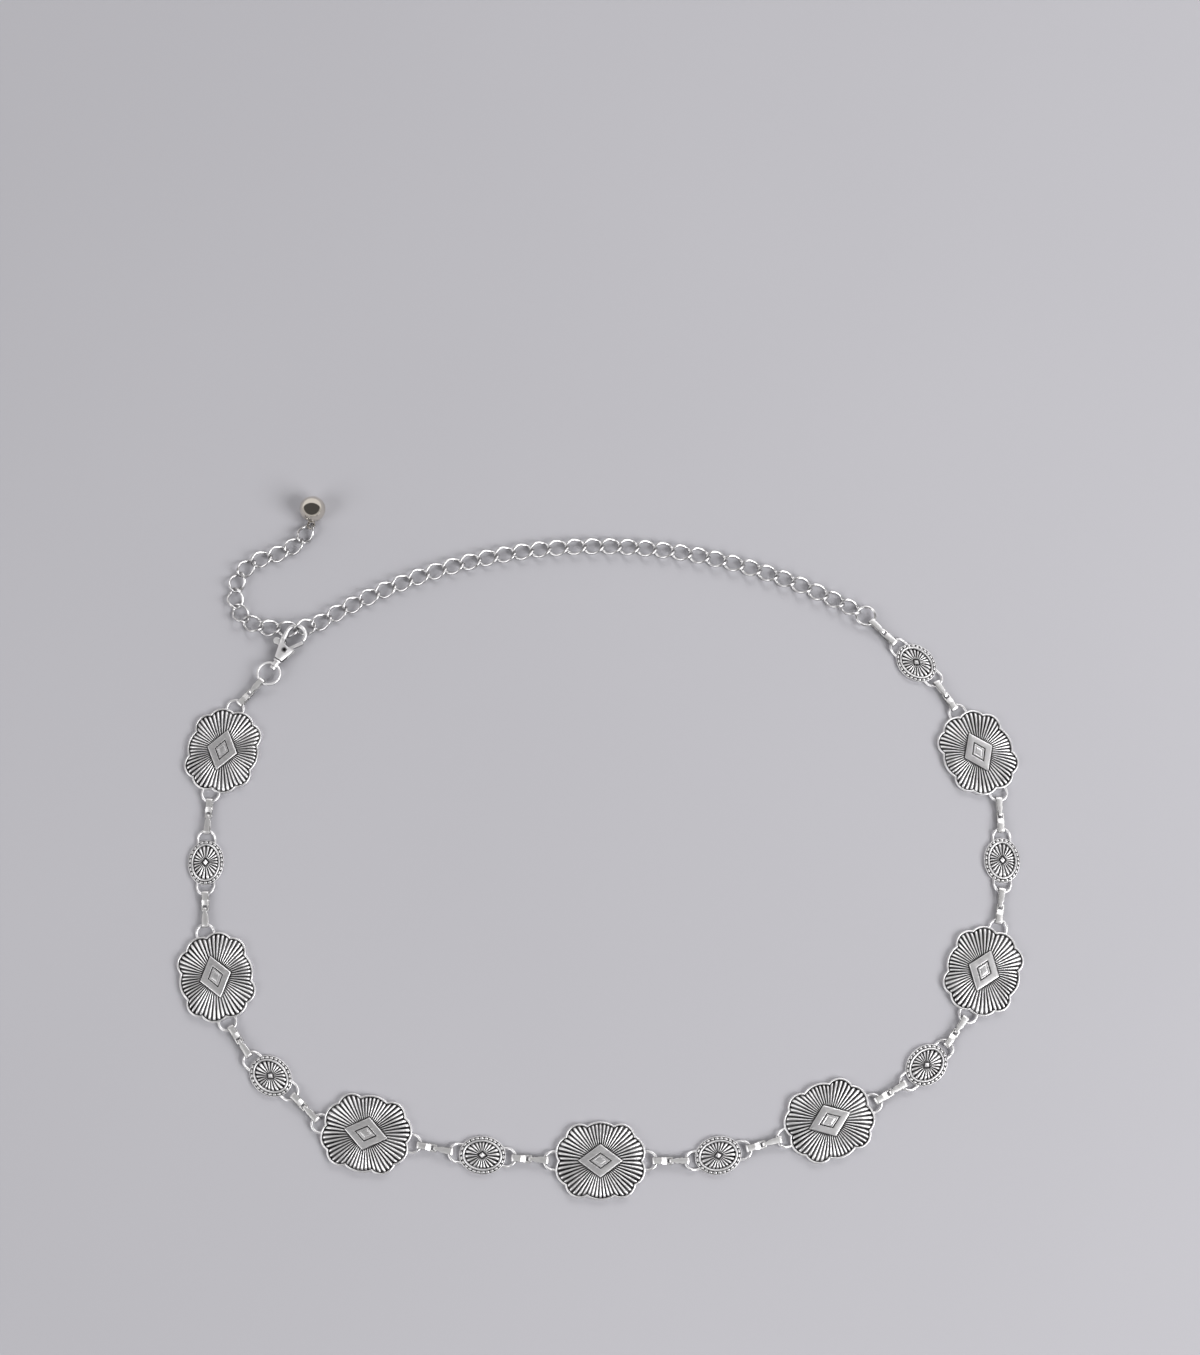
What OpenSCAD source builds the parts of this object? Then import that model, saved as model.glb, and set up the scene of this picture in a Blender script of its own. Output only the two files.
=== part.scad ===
/* [Large concho] */
// Length of the large plate along the belt
large_l = 40.5; // [36:0.5:46]
// Width of the large plate across the belt
large_w = 34.4; // [31:0.2:38]
// Number of flutes round the large plate
large_flutes = 54; // [42:2:60]
// Long diagonal of the diamond in the middle
diamond_l = 20.4; // [16:0.2:24]
// Short diagonal of the diamond in the middle
diamond_w = 14.8; // [12:0.2:17]
// Long diagonal of the small engraved diamond
inner_diamond_l = 9.6; // [7:0.2:12]
// Short diagonal of the small engraved diamond
inner_diamond_w = 6.6; // [5:0.2:8]
// Height of the diamond's flat top above the back
diamond_h = 3.7; // [3.3:0.1:4.5]

/* [Small concho] */
// Length of the small plate along the belt
small_l = 21.1; // [19:0.1:24]
// Width of the small plate across the belt
small_w = 16.8; // [15.6:0.1:19]
// Number of flutes in the small sunburst
small_flutes = 22; // [16:2:28]
// Number of beads round the small plate
beads = 26; // [20:2:32]
// Width of the beaded border
bead_w = 1.7; // [1.3:0.1:2]
// Height of the small raised point above the back
point_h = 3.1; // [2.8:0.1:3.6]

/* [Plates and loops] */
// Thickness of every plate
plate_t = 1.3; // [1.1:0.1:1.6]
// Width of the plain rim
rim_w = 0.95; // [0.7:0.05:1.2]
// Height of the rim above the back
rim_h = 2; // [1.8:0.1:2.4]
// Width of the dark channel inside the rim
channel_w = 0.4; // [0.2:0.1:0.6]
// Thickness of the wire of the end loops
loop_wire = 1.2; // [1:0.1:1.4]
// Radius of the end loops at the middle of the wire
loop_r = 4; // [3.7:0.1:4.4]
// How far the loop's wire stands off the large plate
large_loop_out = 5; // [4.6:0.1:6]
// How far the loop's wire stands off the small plate
small_loop_out = 4.5; // [4.2:0.1:6]

/* [Band links] */
// Thickness of the strip that the band links are bent from
strip_t = 0.6; // [0.5:0.05:0.7]
// Width of a band link at the loop it holds
band_w = 2.8; // [2.4:0.1:3.2]
// Width of a band link at the joint in the middle
neck_w = 1.3; // [1.1:0.1:1.6]
// Width of the slotted tongue
tongue_w = 2.9; // [2.8:0.1:3.4]
// Distance between the two wires that a pair of band links holds
pair_l = 14.4; // [13.8:0.1:16]
// Play between a band link and the wire in it
play = 0.2; // [0.15:0.05:0.3]

/* [Curb chain] */
// Thickness of the chain's wire
chain_wire = 1.05; // [0.9:0.05:1.1]
// Length of one chain link at the middle of its wire
link_l = 10.05; // [10:0.05:10.4]
// Width of one chain link at the middle of its wire
link_w = 7.2; // [6.6:0.1:7.6]
// Distance from one chain link to the next
link_pitch = 8.6; // [8.3:0.05:8.65]
// Radius of the plain ring at the end of the chain
end_ring_r = 4.6; // [4.2:0.1:5]

/* [Clasp] */
// Height of the middle of the clasp above the surface
clasp_z = 3.4; // [3.3:0.1:3.6]
// Thickness of the clasp's body
body_t = 4.4; // [3.8:0.1:4.6]
// Thickness of the hook's round wire
hook_wire = 1.8; // [1.6:0.1:2]
// Radius of the hook's bend at the middle of its wire
hook_r = 4.6; // [4.3:0.1:5]
// Distance from the rivet to the middle of the hook's bend
hook_out = 9.4; // [8.8:0.1:10.4]
// Thickness of the lever
lever_t = 1.5; // [1.2:0.1:1.8]
// Diameter of the rivet's shank
rivet_d = 1.8; // [1.6:0.1:2]
// Diameter of the hole through the tubular rivet
rivet_hole = 0.9; // [0.7:0.1:1]
// Radius of the swivel ring at the middle of its wire
ring_r = 5.4; // [5:0.1:6]
// Thickness of the swivel ring's wire
ring_wire = 1.2; // [1:0.1:1.3]
// Distance from the rivet to the middle of the swivel ring
ring_back = 13.4; // [13.2:0.1:15]
// Diameter of the swivel post
post_d = 1.6; // [1.4:0.1:1.8]

/* [Ball drop] */
// Diameter of the ball
ball_d = 12.6; // [11:0.2:14]
// Radius of the ball's eye at the middle of its wire
eye_r = 1.8; // [1.7:0.1:2.2]
// Thickness of the eye's wire
eye_wire = 0.9; // [0.8:0.1:1]

/* [Hidden] */
// The seven large and seven small conchos lie in turn, from the clasp's side to the chain's side.
// Heading of each concho along the belt, in degrees
concho_turn = [-103, -88, -73, -38, -12, -5, 0, 12, 21, 41, 68, 88, 114, 136];
// Heading of the band links between each concho and the next
pair_turn = [-92, -87, -55, -44, -11, -4, 0, 15, 30, 53, 81, 91, 122];
// How much shorter than taut each pair of band links lies
pair_slack = [0, 0, 0.6, 1.4, 0.8, 1, 1, 1.4, 2.4, 2.4, 0.9, 0.7, 1.6];
// Heading and slack of the pair that holds the swivel ring, and of the pair that holds the chain
ring_pair = [47, 0.4];
chain_pair = [135, 0.4];
// Heading of the clasp, from the swivel ring to the hook
clasp_turn = 57;
// Heading at which the chain leaves the clasped link, and reaches the end ring
chain_leave = 33;
chain_reach = -30;
// Handles of the chain's curve, as a share of its span
chain_pull = 0.36;
// Heading of each link of the tail, from the clasped link to the ball
tail_turn = [178, 177, 156, 124, 98, 73, 46, 18, 20, 38, 62];
// Heading from the last link of the tail to the ball
ball_turn = 80;
// Place of the clasped link on the clasp, along and across it, and its heading
clasped_at = [15.05, -0.95];
clasped_turn = 10;
// How three links lie off the chain's own line: in the hook, leaning on the hook, in the end ring
// Columns: shift along X, along Y and upwards, extra heading, roll and pitch
clasped_lie = [-0.05, -0.05, 0.8, 5, 27, -5];
leaning_lie = [0.1, -0.45, 0.5, -3, -12, -2];
held_lie = [0, 0, 0.35, 0, -12, 0];

middle = 6;
conchos = len(concho_turn);
gap = 0.15;
over = 0.1;
loop_z = loop_wire / 2 + strip_t + play + 0.1;
chain_z = chain_wire / 2 + 1.4;
end_z = chain_z + held_lie[2];
twist = -45;
relief_low = 0.6;
bow = loop_r - sqrt(pow(loop_r, 2) - pow(band_w / 2, 2));
ring_bow = ring_r - sqrt(pow(ring_r, 2) - pow(band_w / 2, 2));
end_bow = end_ring_r - sqrt(pow(end_ring_r, 2) - pow(band_w / 2, 2));
large_reach = large_l / 2 + large_loop_out - loop_r;
small_reach = small_l / 2 + small_loop_out - loop_r;

function dir(a) = [cos(a), sin(a)];
function at_z(p, z) = [p[0], p[1], z];
function unit(v) = v / norm(v);

// Places of the conchos, worked out both ways from the middle one
function is_large(i) = i % 2 == 0;
function reach(i) = is_large(i) ? large_reach : small_reach;
function stride(i) = reach(i) * dir(concho_turn[i])
    + (2 * (loop_r - bow) + pair_l - pair_slack[i]) * dir(pair_turn[i])
    + reach(i + 1) * dir(concho_turn[i + 1]);
function centre(i) = i == middle ? [0, 0]
    : i > middle ? centre(i - 1) + stride(i - 1) : centre(i + 1) - stride(i);

// Middle of the loop at either end of a concho, side 1 towards the chain and -1 towards the clasp
function loop_mid(i, side) = centre(i) + side * reach(i) * dir(concho_turn[i]);

ring_mid = loop_mid(0, -1)
    + (loop_r - bow + pair_l - ring_pair[1] + ring_r - ring_bow) * dir(ring_pair[0]);
rivet_at = ring_mid + ring_back * dir(clasp_turn);
end_mid = loop_mid(conchos - 1, 1)
    + (loop_r - bow + pair_l - chain_pair[1] + end_ring_r - end_bow) * dir(chain_pair[0]);
clasped_mid = rivet_at + clasped_at[0] * dir(clasp_turn) + clasped_at[1] * dir(clasp_turn + 90);

// The main chain follows one smooth curve from the clasped link to the end ring
chain_from = clasped_mid + link_pitch / 2 * dir(clasped_turn);
chain_to = end_mid + (end_ring_r - (link_l - link_pitch) / 2) * dir(chain_reach + 180);
span = norm(chain_to - chain_from);
curve = [chain_from, chain_from + chain_pull * span * dir(chain_leave),
    chain_to - chain_pull * span * dir(chain_reach), chain_to];
function bezier(t) = pow(1 - t, 3) * curve[0] + 3 * t * pow(1 - t, 2) * curve[1]
    + 3 * t * t * (1 - t) * curve[2] + t * t * t * curve[3];
steps = 240;
function run(i) = i == 0 ? 0 : run(i - 1) + norm(bezier(i / steps) - bezier((i - 1) / steps));
runs = [for (i = [0:steps]) [run(i), i / steps]];
links = round(runs[steps][0] / link_pitch);
function hinge(k) = bezier(lookup(k * runs[steps][0] / links, runs));

// The tail turns link by link, by its own headings
tail_links = len(tail_turn);
function tail_hinge(k) = k == 0 ? clasped_mid - link_pitch / 2 * dir(clasped_turn)
    : tail_hinge(k - 1) + link_pitch * dir(tail_turn[k - 1]);

// Outline of the large plate: the circles of its lobes, as shares of its half length and half width
// Columns: middle along, middle across, radius of half width
function lobes(inset) = let (
    half_l = large_l / 2, half_w = large_w / 2,
    side_r = 0.44 * half_w, corner_r = 0.39 * half_w, top_r = 0.68 * half_w)
    concat(
    [for (x = [-1, 1], y = [-1, 1]) [x * (half_l - side_r), y * 0.224 * half_w, side_r - inset]],
    [for (x = [-1, 1], y = [-1, 1]) [x * 0.457 * half_l, y * 0.555 * half_w, corner_r - inset]],
    [for (y = [-1, 1]) [0, y * (half_w - top_r), top_r - inset]]);
function far_hit(c, a) = let (
    b = c[0] * cos(a) + c[1] * sin(a),
    d = pow(c[2], 2) - pow(c[0], 2) - pow(c[1], 2) + b * b)
    d < 0 ? 0 : b + sqrt(d);
function lobed(a, inset) = max([for (c = lobes(inset)) far_hit(c, a)]);
function rhombus(a, l, w) = 1 / (abs(cos(a)) / (l / 2) + abs(sin(a)) / (w / 2));
function oval(a, l, w) = 1 / sqrt(pow(cos(a) / (l / 2), 2) + pow(sin(a) / (w / 2), 2));

module lobed_plate(inset, h) {
    linear_extrude(h) {
        for (c = lobes(inset)) translate([c[0], c[1]]) circle(c[2], $fn = 96);
        polygon([for (a = [0:15:345]) 0.8 * lobed(a, inset) * dir(a)]);
    }
}

module diamond(l, w, h) {
    linear_extrude(h) polygon([[l / 2, 0], [0, w / 2], [-l / 2, 0], [0, -w / 2]]);
}

// A solid through rings of points, one above or inside the other, closed by a fan at each end
module ringed(rings) {
    n = len(rings[0]);
    m = len(rings);
    all = [for (r = rings) each r];
    first = m * n;
    low = [0, 0, rings[0][0][2]];
    high = [0, 0, rings[m - 1][0][2]];
    polyhedron(concat(all, [low, high]), concat(
        [for (j = [0:n - 1]) [first, j, (j + 1) % n]],
        [for (i = [0:m - 2], j = [0:n - 1]) let (k = (j + 1) % n)
            each [[i * n + j, (i + 1) * n + j, (i + 1) * n + k], [i * n + j, (i + 1) * n + k, i * n + k]]],
        [for (j = [0:n - 1]) [first + 1, (m - 1) * n + (j + 1) % n, (m - 1) * n + j]]));
}

// Loop of round wire that stands out of a plate's end, its legs running back into the plate
module end_loop(mid, back) {
    translate([mid, 0, loop_z]) {
        rotate([0, 0, -90]) rotate_extrude(angle = 180, $fn = 64)
            translate([loop_r, 0]) circle(d = loop_wire, $fn = 32);
        for (y = [-1, 1]) translate([-back, y * loop_r, 0]) rotate([0, 90, 0])
            cylinder(d = loop_wire, h = back, $fn = 32);
    }
}

module large_concho() {
    n = 2 * large_flutes;
    edge = rim_w + channel_w;
    top = diamond_h - 0.8;
    bevel = 0.8;
    function wave(j, high, low) = j % 2 == 1 ? high : low;
    function ring(share, high, low) = [for (j = [0:n - 1]) let (a = j * 360 / n,
        out = lobed(a, edge), in = 0.94 * rhombus(a, diamond_l, diamond_w))
        at_z((in + share * (out - in)) * dir(a), wave(j, high, low))];
    color("silver") {
        difference() {
            lobed_plate(0, rim_h);
            translate([0, 0, plate_t]) lobed_plate(rim_w, rim_h);
        }
        ringed([ring(1, relief_low, relief_low), ring(1, 1.95, 1.5), ring(0.5, 2.75, 2.3),
            ring(0, top, top)]);
        difference() {
            ringed([[for (a = [0:90:270]) at_z(rhombus(a, diamond_l, diamond_w) * dir(a), relief_low)],
                [for (a = [0:90:270]) at_z(rhombus(a, diamond_l, diamond_w) * dir(a), top + 0.3)],
                [for (a = [0:90:270]) at_z(rhombus(a, diamond_l - bevel, diamond_w - bevel) * dir(a),
                    diamond_h)]]);
            translate([0, 0, diamond_h - 0.25]) difference() {
                diamond(inner_diamond_l + 0.3, inner_diamond_w + 0.3, 1);
                translate([0, 0, -over]) diamond(inner_diamond_l - 0.4, inner_diamond_w - 0.4, 2);
            }
        }
        for (s = [0, 180]) rotate([0, 0, s]) end_loop(large_reach, large_reach - large_l / 2 + 2);
    }
}

module small_concho() {
    n = 2 * small_flutes;
    ring_l = small_l - 2 * bead_w;
    ring_w = small_w - 2 * bead_w;
    burst_l = ring_l - 3;
    burst_w = ring_w - 3;
    per_bead = 6;
    function wave(j, high, low) = j % 2 == 1 ? high : low;
    function burst(share, high, low) = [for (j = [0:n - 1]) let (a = j * 360 / n)
        at_z(share * oval(a, burst_l, burst_w) * dir(a), wave(j, high, low))];
    function eased(i) = let (a = i * 360 / (beads * per_bead))
        a - 57 / 2 * (small_l - small_w) / (small_l + small_w) * sin(2 * a);
    function bump(i) = 0.35 * (1 - pow(abs(sin(180 * i / per_bead)), 0.7));
    color("silver") {
        linear_extrude(plate_t) polygon([for (a = [0:6:354])
            oval(a, small_l - 0.7, small_w - 0.7) * dir(a)]);
        linear_extrude(rim_h - 0.2) difference() {
            polygon([for (i = [0:beads * per_bead - 1])
                (oval(eased(i), small_l, small_w) - bump(i)) * dir(eased(i))]);
            polygon([for (a = [0:6:354]) oval(a, ring_l - 0.2, ring_w - 0.2) * dir(a)]);
        }
        linear_extrude(rim_h + 0.2) difference() {
            polygon([for (a = [0:6:354]) oval(a, ring_l, ring_w) * dir(a)]);
            polygon([for (a = [0:6:354]) oval(a, ring_l - 1.6, ring_w - 1.6) * dir(a)]);
        }
        ringed([burst(1, relief_low, relief_low), burst(1, 2, 1.5), burst(0.25, 2.5, 2.5)]);
        ringed([[for (a = [0:90:270]) at_z(rhombus(a, 3.2, 2.5) * dir(a), relief_low)],
            [for (a = [0:90:270]) at_z(rhombus(a, 3.2, 2.5) * dir(a), 2.5)],
            [for (a = [0:90:270]) at_z(rhombus(a, 0.6, 0.5) * dir(a), point_h)]]);
        for (s = [0, 180]) rotate([0, 0, s]) end_loop(small_reach, small_reach - small_l / 2 + 2.4);
    }
}

// Closed strip seen from the side: round at both ends, from one middle to the other
module strip_side(from, to, r) {
    translate([from, 0]) circle(r, $fn = 48);
    translate([to, 0]) circle(r, $fn = 48);
    translate([from, -r]) square([to - from, 2 * r]);
}

// Sizes along a pair of band links, measured from the wire that the slotted link holds
inner_r = loop_wire / 2 + play;
outer_r = inner_r + strip_t;
tongue_t = 2 * (inner_r - gap);
joint_mid = pair_l / 2 + 0.4;
bar_w = 0.8;
bar_at = joint_mid - inner_r + 0.55;
slot_l = strip_t + 1.3;

// Slotted link: a strip bent round the wire, its two ends brought together in a slotted tongue
module slotted_link() {
    tongue_end = bar_at + bar_w;
    hollow = 3;
    function bend(r) = [for (a = [90:10:270]) r * dir(a)];
    color("gainsboro") difference() {
        intersection() {
            rotate([90, 0, 0]) translate([0, 0, -band_w]) linear_extrude(2 * band_w) difference() {
                polygon(concat(bend(outer_r), [[hollow, -outer_r], [hollow + 2.2, -tongue_t / 2],
                    [tongue_end, -tongue_t / 2], [tongue_end, tongue_t / 2],
                    [hollow + 2.2, tongue_t / 2], [hollow, outer_r]]));
                polygon(concat(bend(inner_r), [[hollow - inner_r, -inner_r], [hollow + 1.4, -over],
                    [hollow + 1.4, over], [hollow - inner_r, inner_r]]));
            }
            translate([0, 0, -outer_r - over]) linear_extrude(2 * outer_r + 2 * over)
                polygon([[-outer_r - over, band_w / 2], [hollow, 0.45 * band_w], [hollow + 2, tongue_w / 2],
                    [tongue_end + over, tongue_w / 2], [tongue_end + over, -tongue_w / 2],
                    [hollow + 2, -tongue_w / 2], [hollow, -0.45 * band_w], [-outer_r - over, -band_w / 2]]);
        }
        translate([bar_at - slot_l, -neck_w / 2 - 0.2, -outer_r]) cube([slot_l, neck_w + 0.4, 2 * outer_r]);
    }
}

// Looped link: a closed strip, wide at the wire and narrow where it passes through the slot
module looped_link() {
    shoulder = bar_at + bar_w + 0.6;
    far = pair_l + outer_r + over;
    color("gainsboro") intersection() {
        rotate([90, 0, 0]) translate([0, 0, -band_w]) linear_extrude(2 * band_w) difference() {
            strip_side(joint_mid, pair_l, outer_r);
            strip_side(joint_mid, pair_l, inner_r);
        }
        translate([0, 0, -outer_r - over]) linear_extrude(2 * outer_r + 2 * over)
            polygon([[joint_mid - outer_r - over, neck_w / 2], [shoulder, neck_w / 2],
                [shoulder + 0.8, 0.36 * band_w], [far, band_w / 2], [far, -band_w / 2],
                [shoulder + 0.8, -0.36 * band_w], [shoulder, -neck_w / 2],
                [joint_mid - outer_r - over, -neck_w / 2]]);
    }
}

// Place of pair k, from 0 between the first two conchos to 13 at the chain and 14 at the swivel ring
module at_pair(k) {
    last = conchos - 1;
    turn = k < last ? pair_turn[k] : k == last ? chain_pair[0] : ring_pair[0];
    slack = k < last ? pair_slack[k] : k == last ? chain_pair[1] : ring_pair[1];
    mid = k <= last ? loop_mid(k, 1) : loop_mid(0, -1);
    rise = k < last ? 0 : k == last ? end_z - loop_z : clasp_z - loop_z;
    translate(at_z(mid + (loop_r - bow - slack / 2) * dir(turn), loop_z))
        rotate([0, -asin(rise / pair_l), turn]) children();
}

// One twisted oval link of round wire along X
module curb_link() {
    sides = 16;
    round = 5;
    function mid_at(t) = let (x = link_l / 2 * cos(t), y = link_w / 2 * sin(t), a = twist * cos(t))
        [x, y * cos(a), y * sin(a)];
    function tube(t) = let (c = mid_at(t), along = unit(mid_at(t + 1) - mid_at(t - 1)),
        up = unit(cross(c, along)), out = cross(along, up))
        [for (j = [0:round - 1]) c + chain_wire / 2 * (cos(j * 360 / round) * out
            + sin(j * 360 / round) * up)];
    polyhedron([for (i = [0:sides - 1]) each tube(i * 360 / sides)],
        [for (i = [0:sides - 1], j = [0:round - 1]) let (n = (i + 1) % sides, k = (j + 1) % round)
            each [[i * round + j, n * round + j, n * round + k], [i * round + j, n * round + k, i * round + k]]]);
}

module link_between(p, q, lie = [0, 0, 0, 0, 0, 0]) {
    d = q - p;
    translate([(p[0] + q[0]) / 2 + lie[0], (p[1] + q[1]) / 2 + lie[1], chain_z + lie[2]])
        rotate([lie[4], -lie[5], atan2(d[1], d[0]) + lie[3]]) curb_link();
}

module chain() {
    color("silver") {
        link_between(tail_hinge(0), chain_from, clasped_lie);
        for (k = [0:links - 2]) link_between(hinge(k), hinge(k + 1));
        link_between(hinge(links - 1), hinge(links), held_lie);
    }
}

module tail_chain() {
    color("silver") {
        link_between(tail_hinge(0), tail_hinge(1), leaning_lie);
        for (k = [1:tail_links - 1]) link_between(tail_hinge(k), tail_hinge(k + 1));
    }
}

// Plain ring that the last pair of band links holds
module end_ring() {
    color("silver") translate(at_z(end_mid, end_z)) rotate_extrude($fn = 64)
        translate([end_ring_r, 0]) circle(d = loop_wire, $fn = 32);
}

// Ball with a small eye, lying on the surface with the eye turned down to the chain
module ball_drop() {
    eye_at = ball_d / 2 + eye_r;
    hold = tail_hinge(tail_links) - (link_l - link_pitch) / 2 * dir(tail_turn[tail_links - 1] + 180);
    drop = asin((ball_d / 2 - chain_z) / eye_at);
    mid = hold + eye_at * cos(drop) * dir(ball_turn);
    color("silver") translate(at_z(mid, ball_d / 2)) rotate([0, drop, ball_turn + 180]) {
        sphere(d = ball_d, $fn = 96);
        translate([ball_d / 2 - 0.4, 0, 0]) rotate([0, 90, 0]) cylinder(d = 3.6, h = 0.7, $fn = 32);
        translate([eye_at, 0, 0]) rotate([90 - twist, 0, 0]) rotate_extrude($fn = 48)
            translate([eye_r, 0]) circle(d = eye_wire, $fn = 24);
    }
}

// The clasp lies along its own X axis from the rivet, its middle at height 0
module at_clasp() {
    translate(at_z(rivet_at, clasp_z)) rotate([0, 0, clasp_turn]) children();
}

collar_at = -5.2;
ring_boss = 2.4;
post_end = ring_r - ring_back - ring_boss / 2 - gap;

module clasp_hook() {
    hook_y = 0.3;
    slot_t = lever_t + 2 * gap;
    limb_root = 2.8;
    at_clasp() color("silver") difference() {
        union() {
            translate([0, 0, -body_t / 2]) linear_extrude(body_t) polygon([[collar_at, 2.2],
                [4.8, hook_y + hook_r + 0.2], [4.8, 2.9], [2.5, 2.2], [2, -1.2], [2.6, -3.9],
                [collar_at, -1.9]]);
            translate([hook_out + 0.2, hook_y + hook_r, 0]) rotate([0, -90, 8])
                cylinder(d1 = hook_wire - 0.2, d2 = limb_root, h = hook_out - 3.2, $fn = 32);
            translate([hook_out, hook_y, 0]) rotate([0, 0, -98]) rotate_extrude(angle = 196, $fn = 64)
                translate([hook_r, 0]) circle(d = hook_wire, $fn = 32);
            for (x = [[0, 4], [1.4, 4.2]]) translate([collar_at - 0.1 - x[0], 0.15, 0]) rotate([0, 90, 0])
                cylinder(d = x[1], h = 0.7 + 0.2, $fn = 32);
            translate([post_end - 1.3, 0, 0]) rotate([0, 90, 0])
                cylinder(d = post_d, h = collar_at - post_end + 1.4, $fn = 32);
            translate([post_end - 1.4, 0, 0]) rotate([0, 90, 0]) cylinder(d = 2.9, h = 1.4, $fn = 32);
        }
        translate([-2.4, -6, -slot_t / 2]) cube([6.3, 12, slot_t]);
        cylinder(d = rivet_d, h = 2 * body_t, center = true, $fn = 48);
    }
}

module clasp_lever() {
    gate_turn = -31.5;
    gate_l = 9.3;
    at_clasp() color("silver") difference() {
        translate([0, 0, -lever_t / 2]) linear_extrude(lever_t) {
            circle(d = 3.8, $fn = 48);
            rotate(gate_turn) translate([0, -0.8]) square([gate_l, 1.6]);
            rotate(72) translate([0, -0.9]) square([6, 1.8]);
            translate(6.6 * dir(72)) circle(d = 3.4, $fn = 40);
        }
        cylinder(d = rivet_d + 0.2, h = 2 * lever_t, center = true, $fn = 48);
    }
}

module clasp_rivet() {
    head_t = 0.3;
    at_clasp() color("gainsboro") difference() {
        union() {
            cylinder(d = rivet_d, h = body_t, center = true, $fn = 48);
            for (s = [-1, 1]) translate([0, 0, s * (body_t + head_t) / 2])
                cylinder(d = rivet_d + 1, h = head_t, center = true, $fn = 48);
        }
        cylinder(d = rivet_hole, h = 2 * body_t, center = true, $fn = 32);
    }
}

module swivel_ring() {
    at_clasp() color("silver") translate([-ring_back, 0, 0]) difference() {
        union() {
            rotate_extrude($fn = 96) translate([ring_r, 0]) circle(d = ring_wire, $fn = 32);
            translate([ring_r - ring_boss / 2, 0, 0]) rotate([0, 90, 0])
                cylinder(d = 3.2, h = ring_boss, $fn = 40);
        }
        translate([ring_r - ring_boss, 0, 0]) rotate([0, 90, 0])
            cylinder(d = post_d + 0.3, h = 2 * ring_boss, $fn = 40);
    }
}

for (i = [0:6]) {
    translate(at_z(centre(2 * i), 0)) rotate([0, 0, concho_turn[2 * i]]) large_concho();
    translate(at_z(centre(2 * i + 1), 0)) rotate([0, 0, concho_turn[2 * i + 1]]) small_concho();
}
for (k = [0:conchos]) {
    at_pair(k) slotted_link();
    at_pair(k) looped_link();
}
clasp_hook();
clasp_lever();
clasp_rivet();
swivel_ring();
end_ring();
chain();
tail_chain();
ball_drop();
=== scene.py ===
import math
import bpy
import bmesh
import numpy as np
from mathutils import Matrix, Vector


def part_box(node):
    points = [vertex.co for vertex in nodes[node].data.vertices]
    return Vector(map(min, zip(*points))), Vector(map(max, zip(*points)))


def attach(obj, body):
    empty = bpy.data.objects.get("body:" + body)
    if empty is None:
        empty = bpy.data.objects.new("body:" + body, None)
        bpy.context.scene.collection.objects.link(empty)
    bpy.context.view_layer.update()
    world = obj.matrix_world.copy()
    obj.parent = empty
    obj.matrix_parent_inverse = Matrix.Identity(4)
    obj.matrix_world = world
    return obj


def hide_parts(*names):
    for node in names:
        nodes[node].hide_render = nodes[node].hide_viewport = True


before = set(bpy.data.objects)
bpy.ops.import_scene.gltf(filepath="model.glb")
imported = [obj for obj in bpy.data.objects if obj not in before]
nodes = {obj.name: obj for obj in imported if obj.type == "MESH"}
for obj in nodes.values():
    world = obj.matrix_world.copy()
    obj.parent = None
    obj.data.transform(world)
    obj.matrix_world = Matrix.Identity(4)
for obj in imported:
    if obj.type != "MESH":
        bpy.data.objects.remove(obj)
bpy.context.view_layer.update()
mm = 0.001
mergeWithin = 0.002 * mm  # points of a solid this close together are one corner
print("frame loaded:", len(nodes), "nodes")


# Small helpers

def linearColour(hexCode):
    shades = [int(hexCode[i:i + 2], 16) / 255 for i in (1, 3, 5)]
    return [s / 12.92 if s <= 0.04045 else ((s + 0.055) / 1.055) ** 2.4 for s in shades] + [1.0]


def addNode(tree, kind, inputs=None, **settings):
    # one node with its settings; a socket given as an input is linked, anything else is set
    node = tree.nodes.new(kind)
    for name, value in settings.items():
        setattr(node, name, value)
    for socket, value in (inputs or {}).items():
        if isinstance(value, bpy.types.NodeSocket):
            tree.links.new(value, node.inputs[socket])
        else:
            node.inputs[socket].default_value = value
    return node


def fullTurn(count):
    # evenly spaced angles round a circle
    return np.arange(count) * 2 * math.pi / count


def meshFrom(name, points, faces):
    mesh = bpy.data.meshes.new(name)
    mesh.from_pydata([tuple(p) for p in points], [], faces)
    mesh.validate()
    return mesh


def outwardNormals(mesh):
    shape = bmesh.new()
    shape.from_mesh(mesh)
    bmesh.ops.recalc_face_normals(shape, faces=shape.faces)
    shape.to_mesh(mesh)
    shape.free()


def softShading(mesh, degrees=40):
    mesh.shade_smooth()
    mesh.set_sharp_from_angle(angle=math.radians(degrees))


def showPiece(name, mesh, material, body, slot, *replaced):
    # places a finished mesh in the scene and says which body it rides on
    mesh.materials.clear()
    mesh.materials.append(material)
    piece = bpy.data.objects.new(name, mesh)
    bpy.context.scene.collection.objects.link(piece)
    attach(piece, body)
    if replaced:
        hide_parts(*replaced)
    return piece


def joinedMesh(name, meshes):
    # one mesh from several, keeping the attribute of oxide and painted shade
    shape = bmesh.new()
    for mesh in meshes:
        if "oxideAndShade" not in mesh.attributes:
            mesh.attributes.new("oxideAndShade", "FLOAT", "POINT")
        shape.from_mesh(mesh)
    result = bpy.data.meshes.new(name)
    shape.to_mesh(result)
    shape.free()
    return result


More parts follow.
